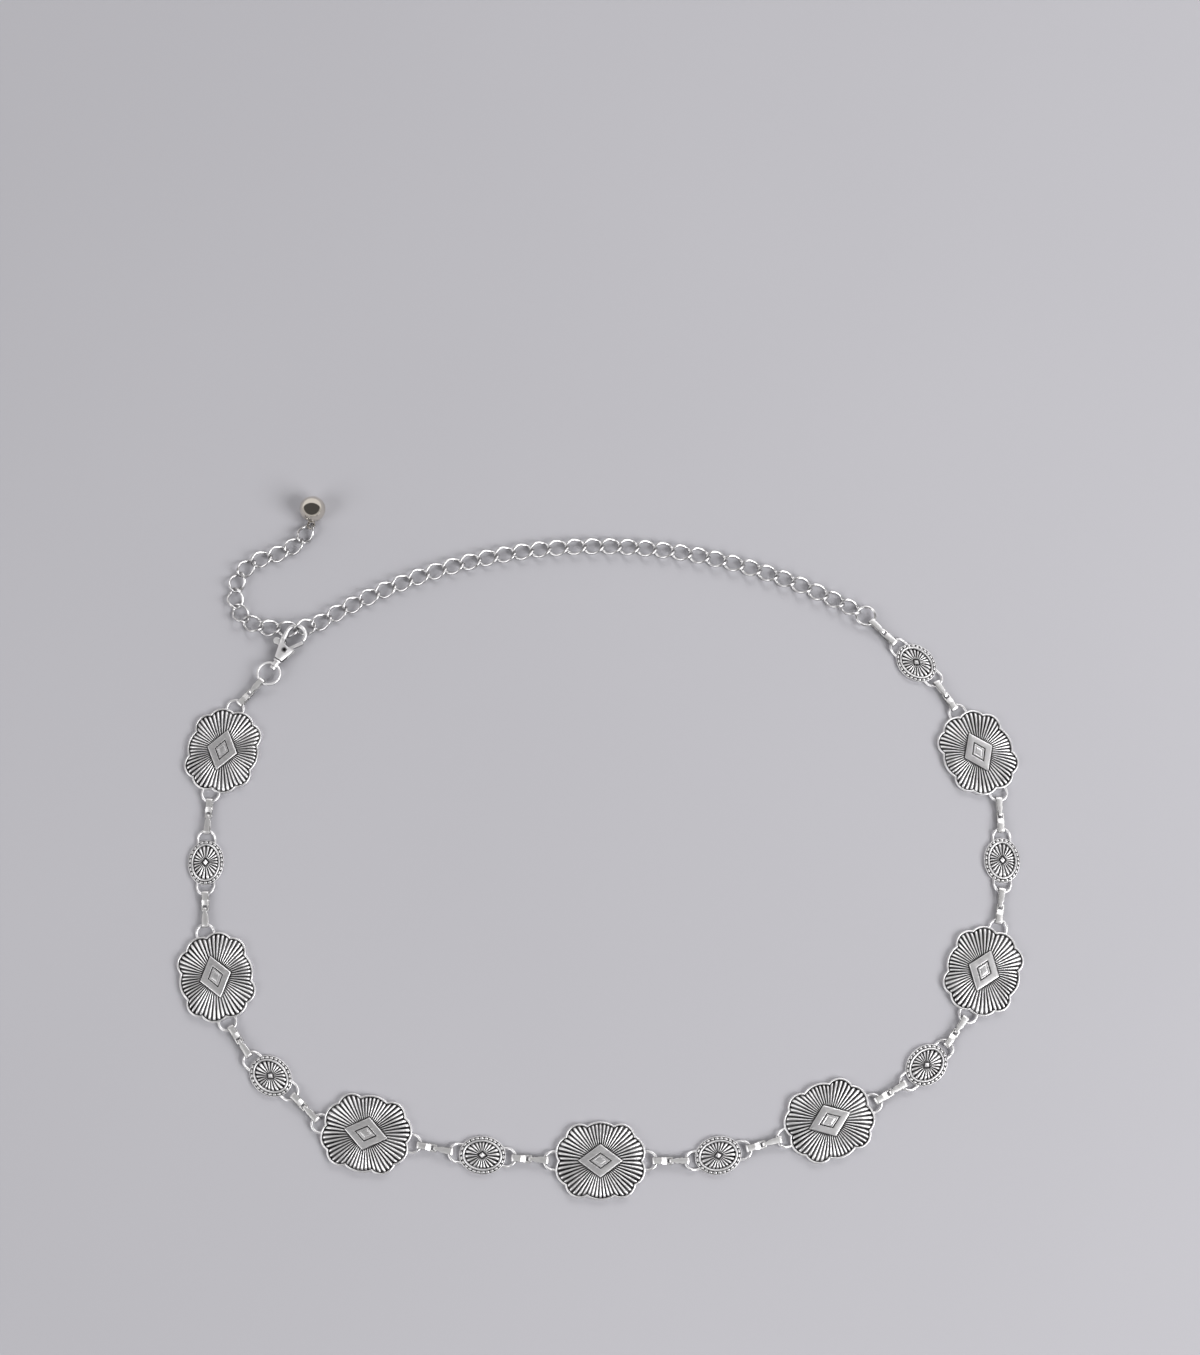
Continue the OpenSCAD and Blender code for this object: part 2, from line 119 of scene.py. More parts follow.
def tubeMesh(name, path, radius, sides, closed=False):
    # round wire along a path of points, closed into a ring or capped at both ends
    path = [Vector(p) for p in path]
    count = len(path)
    points, faces = [], []
    up = None
    for i, here in enumerate(path):
        before = path[i - 1] if closed or i > 0 else here
        after = path[(i + 1) % count] if closed or i < count - 1 else here
        along = (after - before).normalized()
        up = along.orthogonal().normalized() if up is None else (up - along * up.dot(along)).normalized()
        side = along.cross(up)
        width = radius[i] if isinstance(radius, (list, tuple)) else radius
        for j in range(sides):
            turn = 2 * math.pi * j / sides
            points.append(here + width * (math.cos(turn) * up + math.sin(turn) * side))
    for i in range(count if closed else count - 1):
        k = (i + 1) % count
        for j in range(sides):
            n = (j + 1) % sides
            faces.append((i * sides + j, i * sides + n, k * sides + n, k * sides + j))
    if not closed:
        faces.append(tuple(reversed(range(sides))))
        faces.append(tuple((count - 1) * sides + j for j in range(sides)))
    mesh = meshFrom(name, points, faces)
    outwardNormals(mesh)
    softShading(mesh)
    return mesh


def runTree(mesh, tree, values):
    # the mesh that a Geometry Nodes tree makes from a base mesh, with its named inputs set first
    base = bpy.data.objects.new(tree.name, mesh)
    bpy.context.scene.collection.objects.link(base)
    modifier = base.modifiers.new(tree.name, "NODES")
    modifier.node_group = tree
    sockets = {s.name: s.identifier for s in tree.interface.items_tree if s.in_out == "INPUT"}
    for name, value in values.items():
        modifier[sockets[name]] = value
    base.update_tag()
    depsgraph = bpy.context.evaluated_depsgraph_get()
    depsgraph.update()
    result = bpy.data.meshes.new_from_object(
        base.evaluated_get(depsgraph), preserve_all_data_layers=True, depsgraph=depsgraph)
    base.modifiers.remove(modifier)
    bpy.data.objects.remove(base)
    return result


def newTree(name, sockets):
    # an empty Geometry Nodes tree with named inputs: (name, kind, starting value)
    tree = bpy.data.node_groups.new(name, "GeometryNodeTree")
    tree.interface.new_socket("Geometry", in_out="OUTPUT", socket_type="NodeSocketGeometry")
    tree.interface.new_socket("Geometry", in_out="INPUT", socket_type="NodeSocketGeometry")
    for label, kind, value in sockets:
        socket = tree.interface.new_socket(label, in_out="INPUT", socket_type=kind)
        if value is not None:
            socket.default_value = value
    return tree, addNode(tree, "NodeGroupInput").outputs


def mathStep(tree, operation, *values):
    return addNode(tree, "ShaderNodeMath", dict(enumerate(values)), operation=operation).outputs[0]


# Places of the parts, read from the frame's own meshes

def nodePoints(name):
    mesh = nodes[name].data
    flat = np.empty(len(mesh.vertices) * 3, np.float32)
    mesh.vertices.foreach_get("co", flat)
    return flat.reshape(-1, 3).astype(float)


def conchoPlace(name, loopsFrom):
    # centre of the plate, and its heading from the two loops, whose points lie farthest out
    points = nodePoints(name)
    centre = (points.min(0) + points.max(0)) / 2
    out = points[:, :2] - centre[:2]
    far = out[np.hypot(out[:, 0], out[:, 1]) > loopsFrom * mm]
    sideOf = np.sign(far @ far[0])
    along = (far * sideOf[:, None]).sum(0)
    return Matrix.Translation((centre[0], centre[1], 0)) @ Matrix.Rotation(math.atan2(along[1], along[0]), 4, "Z")


def linkPlaces(name):
    # every link of a chain node as a place and a turn, from the main directions of its solid
    shape = bmesh.new()
    shape.from_mesh(nodes[name].data)
    bmesh.ops.remove_doubles(shape, verts=shape.verts, dist=mergeWithin)
    seen, places = set(), []
    for start in shape.verts:
        if start in seen:
            continue
        island, waiting = [], [start]
        seen.add(start)
        while waiting:
            vert = waiting.pop()
            island.append(vert.co[:])
            for edge in vert.link_edges:
                other = edge.other_vert(vert)
                if other not in seen:
                    seen.add(other)
                    waiting.append(other)
        points = np.array(island)
        middle = points.mean(0)
        axes = np.linalg.eigh(np.cov((points - middle).T))[1]  # the longest direction comes last
        longAxis, wideAxis = Vector(axes[:, 2]), Vector(axes[:, 1])
        turn = Matrix((longAxis, wideAxis, longAxis.cross(wideAxis))).transposed()
        places.append((Vector(middle), turn.to_euler("XYZ")))
    shape.free()
    return places


# Finishes

metalGrain = {  # what all the metals share: noise detail, long marks, and patches in the oxide and the painted shade
    "blotchDetail": 3.0, "blotchRoughness": 0.55, "fineDetail": 2.0, "markStretch": (1.0, 9.0, 9.0),
    "markRange": (0.3, 0.7), "markBump": 0.4, "bumpDepthMm": 0.02, "oxideAndShadePatches": (0.5, 0.72),
}


def metalMaterial(name, look):
    # plated metal: two close tones over soft blotches, drag marks in one direction, fine handling scratches in the
    # roughness and bump, and silver darkened where the attribute holds real oxide and painted shade
    material = bpy.data.materials.new(name)
    material.use_nodes = True
    tree = material.node_tree
    tree.nodes.clear()
    where = addNode(tree, "ShaderNodeTexCoord").outputs["Object"]
    blotch = addNode(tree, "ShaderNodeTexNoise", {
        "Vector": where, "Scale": 1 / (look["blotchMm"] * mm), "Detail": metalGrain["blotchDetail"],
        "Roughness": metalGrain["blotchRoughness"]})
    grain = addNode(tree, "ShaderNodeTexNoise", {
        "Vector": where, "Scale": 1 / (look["grainMm"] * mm), "Detail": metalGrain["fineDetail"]})
    stretched = addNode(tree, "ShaderNodeMapping", {"Vector": where, "Scale": metalGrain["markStretch"]})
    marks = addNode(tree, "ShaderNodeTexNoise", {
        "Vector": stretched.outputs[0], "Scale": 1 / (look["markMm"] * mm), "Detail": metalGrain["fineDetail"]})
    tone = addNode(tree, "ShaderNodeMix", {
        0: blotch.outputs["Fac"], 6: linearColour(look["shade"]), 7: linearColour(look["colour"])},
        data_type="RGBA")
    oxideAndShade = addNode(tree, "ShaderNodeAttribute", attribute_name="oxideAndShade").outputs["Fac"]
    uneven = mathStep(tree, "MULTIPLY_ADD", blotch.outputs["Fac"], *metalGrain["oxideAndShadePatches"])
    dark = addNode(tree, "ShaderNodeMath", {0: oxideAndShade, 1: uneven}, operation="MULTIPLY", use_clamp=True)
    colour = addNode(tree, "ShaderNodeMix", {
        0: dark.outputs[0], 6: tone.outputs[2], 7: linearColour(look["oxideAndShadeColour"])}, data_type="RGBA")
    (markLow, markHigh), (low, high) = metalGrain["markRange"], look["roughness"]
    polish = addNode(tree, "ShaderNodeMapRange", {
        "Value": marks.outputs["Fac"], "From Min": markLow, "From Max": markHigh, "To Min": low, "To Max": high})
    rough = addNode(tree, "ShaderNodeMix", {
        0: dark.outputs[0], 2: polish.outputs[0], 3: look["oxideAndShadeRoughness"]}, data_type="FLOAT")
    ridges = mathStep(tree, "MULTIPLY", marks.outputs["Fac"], metalGrain["markBump"])
    relief = mathStep(tree, "ADD", ridges, grain.outputs["Fac"])
    bump = addNode(tree, "ShaderNodeBump", {
        "Height": relief, "Strength": look["bump"], "Distance": metalGrain["bumpDepthMm"] * mm})
    shader = addNode(tree, "ShaderNodeBsdfPrincipled", {
        "Base Color": colour.outputs[2], "Metallic": 1.0, "Roughness": rough.outputs[0],
        "Normal": bump.outputs[0]})
    addNode(tree, "ShaderNodeOutputMaterial", {"Surface": shader.outputs[0]})
    return material


# each finish's dark colour serves for oxide in hollows and for painted shade alike
silverLooks = {
    # antique silver plate over cast zinc: bright worn ridges, nearly black oxide left in the grooves
    "antiqueSilverPlate": dict(colour="#F1F0F0", shade="#DAD9DB", oxideAndShadeColour="#262527", blotchMm=7, grainMm=0.35,
                               markMm=2.2, roughness=(0.36, 0.5), oxideAndShadeRoughness=0.6, bump=0.25),
    # silver-plated steel strip, folded by hand tools: bright with drag marks along the bend
    "bentStripPlate": dict(colour="#F1F0EF", shade="#DCDBDC", oxideAndShadeColour="#2E2D2F", blotchMm=4, grainMm=0.3,
                           markMm=1.6, roughness=(0.4, 0.52), oxideAndShadeRoughness=0.5, bump=0.12),
    # silver-plated wire, tumbled after closing: bright and slightly uneven
    "tumbledWirePlate": dict(colour="#E6E5E4", shade="#CBCACC", oxideAndShadeColour="#2E2D2F", blotchMm=5, grainMm=0.4,
                             markMm=1.4, roughness=(0.24, 0.38), oxideAndShadeRoughness=0.5, bump=0.18),
    # die-cast clasp, barrel polished and plated: smooth with soft dents
    "castClaspPlate": dict(colour="#F4F3F3", shade="#E2E1E3", oxideAndShadeColour="#29282A", blotchMm=3, grainMm=0.3,
                           markMm=1.8, roughness=(0.46, 0.58), oxideAndShadeRoughness=0.55, bump=0.08),
    # turned steel rivet: finer and a little greyer than the plating round it
    "turnedRivetSteel": dict(colour="#DAD9DA", shade="#BEBDC0", oxideAndShadeColour="#1F1E20", blotchMm=1.5, grainMm=0.2,
                             markMm=0.8, roughness=(0.2, 0.34), oxideAndShadeRoughness=0.5, bump=0.2),
    # hollow ball, buffed to a mirror: warm where it mirrors the room, with few fine scratches
    "buffedBallPlate": dict(colour="#DDD7CD", shade="#D2CCC2", oxideAndShadeColour="#2E2D2F", blotchMm=9, grainMm=0.5,
                            markMm=3, roughness=(0.05, 0.1), oxideAndShadeRoughness=0.4, bump=0.05),
}
metals = {name: metalMaterial(name, look) for name, look in silverLooks.items()}
print("finishes made:", len(metals))


# Flutes, beads and chain links as Geometry Nodes

def fluteReliefTree():
    # raises rounded flutes on a plate: "turn" is the angle as a share of a circle, "relief" says how
    # much of the flute's height each point takes, and oxide fills the groove from its lower flanks down
    tree, given = newTree("fluteRelief", [
        ("Flutes", "NodeSocketInt", 54), ("Flute Height", "NodeSocketFloat", 0.0005),
        ("Roundness", "NodeSocketFloat", 0.6), ("Groove Patina", "NodeSocketFloat", 1.0),
        ("Oxide From", "NodeSocketFloat", 0.15), ("Oxide Full", "NodeSocketFloat", 0.62),
        ("Material", "NodeSocketMaterial", None)])
    turn = addNode(tree, "GeometryNodeInputNamedAttribute", {"Name": "turn"}, data_type="FLOAT").outputs[0]
    relief = addNode(tree, "GeometryNodeInputNamedAttribute", {"Name": "relief"}, data_type="FLOAT").outputs[0]
    old = addNode(tree, "GeometryNodeInputNamedAttribute", {"Name": "oxideAndShade"}, data_type="FLOAT").outputs[0]
    angle = mathStep(tree, "MULTIPLY", mathStep(tree, "MULTIPLY", turn, given["Flutes"]), 2 * math.pi)
    swing = mathStep(tree, "MULTIPLY_ADD", mathStep(tree, "COSINE", angle), -0.5, 0.5)
    rounded = mathStep(tree, "POWER", mathStep(tree, "MAXIMUM", swing, 0.0), given["Roundness"])
    drop = mathStep(tree, "MULTIPLY", mathStep(tree, "SUBTRACT", rounded, 1.0), relief)
    height = mathStep(tree, "MULTIPLY", drop, given["Flute Height"])
    moved = addNode(tree, "GeometryNodeSetPosition", {
        "Geometry": given["Geometry"],
        "Offset": addNode(tree, "ShaderNodeCombineXYZ", {"Z": height}).outputs[0]})
    depth = mathStep(tree, "MULTIPLY", drop, -1.0)
    groove = addNode(tree, "ShaderNodeMapRange", {
        "Value": depth, "From Min": given["Oxide From"], "From Max": given["Oxide Full"],
        "To Min": 0.0, "To Max": given["Groove Patina"]}, interpolation_type="SMOOTHSTEP").outputs[0]
    withOxideAndShade = addNode(tree, "GeometryNodeStoreNamedAttribute", {
        "Geometry": moved.outputs[0], "Name": "oxideAndShade", "Value": mathStep(tree, "MAXIMUM", old, groove)},
        data_type="FLOAT", domain="POINT")
    realized = addNode(tree, "GeometryNodeRealizeInstances", {"Geometry": withOxideAndShade.outputs[0]})
    finished = addNode(tree, "GeometryNodeSetMaterial", {
        "Geometry": realized.outputs[0], "Material": given["Material"]})
    addNode(tree, "NodeGroupOutput", {"Geometry": finished.outputs[0]})
    return tree


def beadBorderTree():
    # beads of one size, evenly spaced along an oval, their long side pointing outwards, with painted shade that
    # darkens each bead from its top down to its foot
    tree, given = newTree("beadBorder", [
        ("Beads", "NodeSocketInt", 26), ("Oval Length", "NodeSocketFloat", 0.019),
        ("Oval Width", "NodeSocketFloat", 0.015), ("Height", "NodeSocketFloat", 0.0015),
        ("Bead Size", "NodeSocketVector", (0.0008, 0.0006, 0.0006)), ("Foot Shade", "NodeSocketFloat", 0.8),
        ("Material", "NodeSocketMaterial", None)])
    circle = addNode(tree, "GeometryNodeCurvePrimitiveCircle", {"Resolution": 256, "Radius": 0.5})
    size = addNode(tree, "ShaderNodeCombineXYZ", {"X": given["Oval Length"], "Y": given["Oval Width"]})
    flat = addNode(tree, "GeometryNodeInputPosition").outputs[0]
    scaled = addNode(tree, "ShaderNodeVectorMath", {0: flat, 1: size.outputs[0]}, operation="MULTIPLY")
    oval = addNode(tree, "GeometryNodeSetPosition", {
        "Geometry": circle.outputs[0], "Position": scaled.outputs[0],
        "Offset": addNode(tree, "ShaderNodeCombineXYZ", {"Z": given["Height"]}).outputs[0]})
    places = addNode(tree, "GeometryNodeResampleCurve", {"Curve": oval.outputs[0], "Count": given["Beads"]})
    bead = addNode(tree, "GeometryNodeMeshUVSphere", {"Segments": 12, "Rings": 7, "Radius": 1.0})
    # painted shade: the lower a point of the bead, the darker it is painted
    level = addNode(tree, "ShaderNodeSeparateXYZ", {0: flat}).outputs["Z"]
    below = mathStep(tree, "SUBTRACT", 1.0, level)
    withOxideAndShade = addNode(tree, "GeometryNodeStoreNamedAttribute", {
        "Geometry": bead.outputs[0], "Name": "oxideAndShade",
        "Value": mathStep(tree, "MULTIPLY", below, given["Foot Shade"])}, data_type="FLOAT", domain="POINT")
    tangent = addNode(tree, "GeometryNodeInputTangent").outputs[0]
    turned = addNode(tree, "FunctionNodeAlignRotationToVector", {"Vector": tangent}, axis="Y", pivot_axis="Z")
    copies = addNode(tree, "GeometryNodeInstanceOnPoints", {
        "Points": places.outputs[0], "Instance": withOxideAndShade.outputs[0], "Rotation": turned.outputs[0],
        "Scale": given["Bead Size"]})
    realized = addNode(tree, "GeometryNodeRealizeInstances", {"Geometry": copies.outputs[0]})
    smooth = addNode(tree, "GeometryNodeSetShadeSmooth", {"Geometry": realized.outputs[0]})
    finished = addNode(tree, "GeometryNodeSetMaterial", {
        "Geometry": smooth.outputs[0], "Material": given["Material"]})
    addNode(tree, "NodeGroupOutput", {"Geometry": finished.outputs[0]})
    return tree


def curbLinksTree():
    # one twisted oval of round wire, copied to every point with that point's own "lie"; painted shade darkens the
    # bends, where the links overlap, and the sides and underside of the wire
    tree, given = newTree("curbLinks", [
        ("Link Length", "NodeSocketFloat", 0.01), ("Link Width", "NodeSocketFloat", 0.007),
        ("Wire", "NodeSocketFloat", 0.001), ("Twist", "NodeSocketFloat", 0.8),
        ("Steps", "NodeSocketInt", 40), ("Sides", "NodeSocketInt", 12), ("Bend Shade", "NodeSocketFloat", 0.4),
        ("Side Shade", "NodeSocketFloat", 0.5), ("Bend Narrowness", "NodeSocketFloat", 10.0),
        ("Side From", "NodeSocketFloat", 0.5), ("Side Full", "NodeSocketFloat", 0.1),
        ("Material", "NodeSocketMaterial", None)])
    circle = addNode(tree, "GeometryNodeCurvePrimitiveCircle", {"Resolution": given["Steps"], "Radius": 1.0})
    here = addNode(tree, "GeometryNodeInputPosition").outputs[0]
    split = addNode(tree, "ShaderNodeSeparateXYZ", {0: here}).outputs
    halfLength = mathStep(tree, "MULTIPLY", given["Link Length"], 0.5)
    halfWidth = mathStep(tree, "MULTIPLY", given["Link Width"], 0.5)
    lean = mathStep(tree, "MULTIPLY", split["X"], given["Twist"])
    across = mathStep(tree, "MULTIPLY", split["Y"], halfWidth)
    bent = addNode(tree, "ShaderNodeCombineXYZ", {
        "X": mathStep(tree, "MULTIPLY", split["X"], halfLength),
        "Y": mathStep(tree, "MULTIPLY", across, mathStep(tree, "COSINE", lean)),
        "Z": mathStep(tree, "MULTIPLY", across, mathStep(tree, "SINE", lean))})
    # painted shade at the bends, where the links cross each other
    bend = mathStep(tree, "POWER", mathStep(tree, "ABSOLUTE", split["X"]), given["Bend Narrowness"])
    paintedShadeTerm = addNode(tree, "GeometryNodeStoreNamedAttribute", {
        "Geometry": circle.outputs[0], "Name": "oxideAndShade",
        "Value": mathStep(tree, "MULTIPLY", bend, given["Bend Shade"])}, data_type="FLOAT", domain="POINT")
    oval = addNode(tree, "GeometryNodeSetPosition", {"Geometry": paintedShadeTerm.outputs[0], "Position": bent.outputs[0]})
    profile = addNode(tree, "GeometryNodeCurvePrimitiveCircle", {
        "Resolution": given["Sides"], "Radius": mathStep(tree, "MULTIPLY", given["Wire"], 0.5)})
    wire = addNode(tree, "GeometryNodeCurveToMesh", {
        "Curve": oval.outputs[0], "Profile Curve": profile.outputs[0]})
    lie = addNode(tree, "GeometryNodeInputNamedAttribute", {"Name": "lie"}, data_type="FLOAT_VECTOR").outputs[0]
    copies = addNode(tree, "GeometryNodeInstanceOnPoints", {
        "Points": given["Geometry"], "Instance": wire.outputs[0],
        "Rotation": addNode(tree, "FunctionNodeEulerToRotation", {0: lie}).outputs[0]})
    realized = addNode(tree, "GeometryNodeRealizeInstances", {"Geometry": copies.outputs[0]})
    # painted shade on the sides and underside of the wire, by how far its normal turns from up
    normal = addNode(tree, "GeometryNodeInputNormal").outputs[0]
    facing = addNode(tree, "ShaderNodeSeparateXYZ", {0: normal}).outputs["Z"]
    side = addNode(tree, "ShaderNodeMapRange", {
        "Value": facing, "From Min": given["Side From"], "From Max": given["Side Full"],
        "To Min": 0.0, "To Max": given["Side Shade"]},
        interpolation_type="SMOOTHSTEP").outputs[0]
    old = addNode(tree, "GeometryNodeInputNamedAttribute", {"Name": "oxideAndShade"}, data_type="FLOAT").outputs[0]
    withOxideAndShade = addNode(tree, "GeometryNodeStoreNamedAttribute", {
        "Geometry": realized.outputs[0], "Name": "oxideAndShade", "Value": mathStep(tree, "MAXIMUM", old, side)},
        data_type="FLOAT", domain="POINT")
    smooth = addNode(tree, "GeometryNodeSetShadeSmooth", {"Geometry": withOxideAndShade.outputs[0]})
    finished = addNode(tree, "GeometryNodeSetMaterial", {
        "Geometry": smooth.outputs[0], "Material": given["Material"]})
    addNode(tree, "NodeGroupOutput", {"Geometry": finished.outputs[0]})
    return tree


# Conchos, large and small: lengths in millimetres, oxide and painted shade as (where along a flute, over how much of
# it)

largeConcho = {
    "length": 40.5, "width": 34.4, "flutes": 54, "stepsPerFlute": 12,
    "diamondLength": 20.4, "diamondWidth": 14.8, "diamondHeight": 3.7,
    "innerLength": 9.6, "innerWidth": 6.6, "lineWidth": 0.56, "lineDepth": 0.25,
    "rim": 0.95, "channel": 0.4, "rimHeight": 2.0, "channelFloor": 1.3,
    "fluteHeight": 0.5, "roundness": 0.9, "flutesEnd": 0.985, "tipShare": 0.07,
    "domeStart": 1.95, "domeMiddle": 2.75, "domeBelowTop": 0.75,
    # the inner pair darkens the flutes' ends at the diamond: painted shade round its foot
    "outerDark": 0.7, "outerShare": 0.02, "innerOxideAndShade": (0.88, 0.1),
    "loopOut": 5.0, "loopBack": 0.5, "loopSink": 1.15, "loopsFrom": 22,
}
smallConcho = {
    "length": 21.1, "width": 16.8, "flutes": 22, "stepsPerFlute": 26,
    "beads": 26, "beadInset": 0.98, "beadHeight": 1.3, "beadSize": (0.56, 0.97, 0.5), "footShade": 0.8,
    "border": 1.7, "fluteHeight": 0.5, "roundness": 0.75, "tipShare": 0.14,
    "burstInset": 2.3, "burstFloor": 1.4, "burstRise": 0.62, "burstDome": 0.45,
    "innerDark": 0.9, "innerOxideAndShade": (0.9, 0.1),
    "point": 3.1, "pointLength": 3.2, "pointWidth": 2.5, "squareBorder": 1.3,
    "loopOut": 4.5, "loopBack": 1.7, "loopSink": 0.75, "loopsFrom": 12,
}
lobes = {  # arcs of the outline: radii and distances across as shares of half the width, along of half the length
    "sideRadius": 0.44, "sideAcross": 0.224, "cornerRadius": 0.39, "cornerAlong": 0.457, "cornerAcross": 0.555,
    "topRadius": 0.68,
}
endLoop = {"wire": 1.2, "radius": 4.0, "height": 1.5, "rise": 1.6, "sides": 16, "steps": 28}
conchosOfAKind = 7
plateCrease = 55  # degrees, above which an edge of a plate stays sharp


def lobedRadius(turn, look, inset):
    # distance from the middle to the plate's outline: ten arcs of circles, the farthest one counts
    halfLength, halfWidth = look["length"] / 2, look["width"] / 2
    sideRadius, cornerRadius, topRadius = [lobes[k] * halfWidth for k in ("sideRadius", "cornerRadius", "topRadius")]
    arcs = [(sx * (halfLength - sideRadius), sy * lobes["sideAcross"] * halfWidth, sideRadius)
            for sx in (-1, 1) for sy in (-1, 1)]
    arcs += [(sx * lobes["cornerAlong"] * halfLength, sy * lobes["cornerAcross"] * halfWidth, cornerRadius)
             for sx in (-1, 1) for sy in (-1, 1)]
    arcs += [(0, sy * (halfWidth - topRadius), topRadius) for sy in (-1, 1)]
    best = np.zeros_like(turn)
    for x, y, radius in arcs:
        toward = x * np.cos(turn) + y * np.sin(turn)
        inside = (radius - inset) ** 2 - x * x - y * y + toward ** 2
        best = np.maximum(best, np.where(inside > 0, toward + np.sqrt(np.maximum(inside, 0)), 0))
    return best


def rhombusRadius(turn, length, width):
    return 1 / (np.abs(np.cos(turn)) / (length / 2) + np.abs(np.sin(turn)) / (width / 2))


def ovalRadius(turn, length, width):
    return 1 / np.sqrt((np.cos(turn) / (length / 2)) ** 2 + (np.sin(turn) / (width / 2)) ** 2)


def plateMesh(name, rows, turn):
    # a closed plate from rings of points, listed from the middle of the back round to the middle of the face; each
    # row is (radius for every angle, height, flute share, darkening by oxide and painted shade)
    count = len(turn)
    points, relief, oxideAndShade, share = [(0, 0, 0)], [0.0], [0.0], [0.0]
    for radius, height, flute, oxideAndShadeLevel in rows:
        radius = np.broadcast_to(radius, count)
        for a, r, h, f, p in zip(turn, radius, np.broadcast_to(height, count),
                                 np.broadcast_to(flute, count), np.broadcast_to(oxideAndShadeLevel, count)):
            points.append((r * math.cos(a) * mm, r * math.sin(a) * mm, h * mm))
            relief.append(f)
            oxideAndShade.append(p)
            share.append(a / (2 * math.pi))
    points.append((0, 0, float(np.max(rows[-1][1])) * mm))
    relief.append(0.0)
    oxideAndShade.append(float(np.min(rows[-1][3])))
    share.append(0.0)
    faces = [(0, 1 + (j + 1) % count, 1 + j) for j in range(count)]
    for i in range(len(rows) - 1):
        low, high = 1 + i * count, 1 + (i + 1) * count
        for j in range(count):
            k = (j + 1) % count
            faces.append((low + j, low + k, high + k, high + j))
    last = 1 + (len(rows) - 1) * count
    faces += [(last + j, last + (j + 1) % count, len(points) - 1) for j in range(count)]
    mesh = meshFrom(name, points, faces)
    for label, values in (("relief", relief), ("oxideAndShade", oxideAndShade), ("turn", share)):
        mesh.attributes.new(label, "FLOAT", "POINT").data.foreach_set("value", values)
    return mesh


def eased(t):
    t = np.clip(t, 0, 1)
    return t * t * (3 - 2 * t)


def largeRows(look, turn):
    # edge, rolled rim, dark channel, domed flutes, then the bevelled diamond with its engraved line; the tables hold
    # a distance and a height or drop in millimetres, then the darkening, and the last one starts with a share of the
    # inner diamond instead; the darkening is painted shade at the diamond's foot, and the edge is darker towards its
    # bottom
    rim, channel = look["rim"], look["channel"]
    top, floor = look["rimHeight"], look["channelFloor"]
    rows = []
    for inset, height, oxideAndShadeLevel in (
            (1.2, 0, 0.3), (0.3, 0, 0.2), (0.08, 0.07, 0.1), (0, 0.3, 0.1), (0, top - 0.5, 0),
            (0.05, top - 0.25, 0), (0.18, top - 0.08, 0), (0.4, top, 0), (0.6, top - 0.02, 0),
            (0.76, top - 0.1, 0.05), (0.86, top - 0.3, 0.6), (rim, floor + 0.15, 1),
            (rim + 0.1, floor, 1), (rim + channel - 0.1, floor, 1)):
        rows.append((lobedRadius(turn, look, inset), height, 0, oxideAndShadeLevel))
    outer = lobedRadius(turn, look, rim + channel - 0.08)
    inner = look["flutesEnd"] * rhombusRadius(turn, look["diamondLength"], look["diamondWidth"])
    start, middle, end = look["domeStart"], look["domeMiddle"], look["diamondHeight"] - look["domeBelowTop"]
    # the flutes' ends at the diamond get painted shade round its foot; the outer ends keep the channel's oxide
    innerFrom, innerOver = look["innerOxideAndShade"]
    for t in np.concatenate([[0, 0.012, 0.03, 0.055, 0.09], np.linspace(0.14, 1, 19)]):
        dome = start + (middle - start) * math.sin(min(t / 0.5, 1) * math.pi / 2) if t < 0.5 else \
            middle + (end - middle) * (t - 0.5) / 0.5
        tip = eased(np.array(t / look["tipShare"]))
        height = floor + (dome - floor) * (0.5 + 0.5 * tip)
        outerStain = look["outerDark"] * (1 - eased(np.array(t / look["outerShare"])))
        innerOxideAndShade = eased(np.array((t - innerFrom) / innerOver))
        rows.append((outer + t * (inner - outer), height, 1.0 if t < 0.97 else 0.8,
                     np.maximum(outerStain, innerOxideAndShade)))
    high = look["diamondHeight"]
    # the diamond's foot is painted dark, as painted shade round the raised diamond
    for shrink, height, oxideAndShadeLevel in ((0, end - 0.1, 1.0), (0.1, end + 0.1, 0.75), (0.25, high - 0.45, 0.1),
                                  (0.5, high - 0.18, 0), (0.85, high - 0.04, 0), (1.3, high, 0)):
        scale = 1 - shrink / look["diamondWidth"]
        rows.append((scale * rhombusRadius(turn, look["diamondLength"], look["diamondWidth"]), height, 0, oxideAndShadeLevel))
    line, depth = look["lineWidth"] / 2, look["lineDepth"]
    length, width = look["innerLength"], look["innerWidth"]
    edgeAt = length * width / 2 / math.hypot(length, width)
    for grow, drop, oxideAndShadeLevel in ((0.7, 0, 0), (line + 0.08, 0, 0), (line, 0.04, 0.6), (line - 0.06, depth, 1),
                              (0.06 - line, depth, 1), (-line, 0.04, 0.6), (-0.08 - line, 0, 0), (-0.6, 0, 0)):
        rows.append(((1 + grow / edgeAt) * rhombusRadius(turn, length, width), high - drop, 0, oxideAndShadeLevel))
    for share, drop, oxideAndShadeLevel in ((0.66, 0.0, 0), (0.63, 0.05, 0.5), (0.58, 0.05, 0.5), (0.55, 0, 0), (0.25, 0, 0)):
        rows.append((share * rhombusRadius(turn, length, width), high - drop, 0, oxideAndShadeLevel))
    return rows


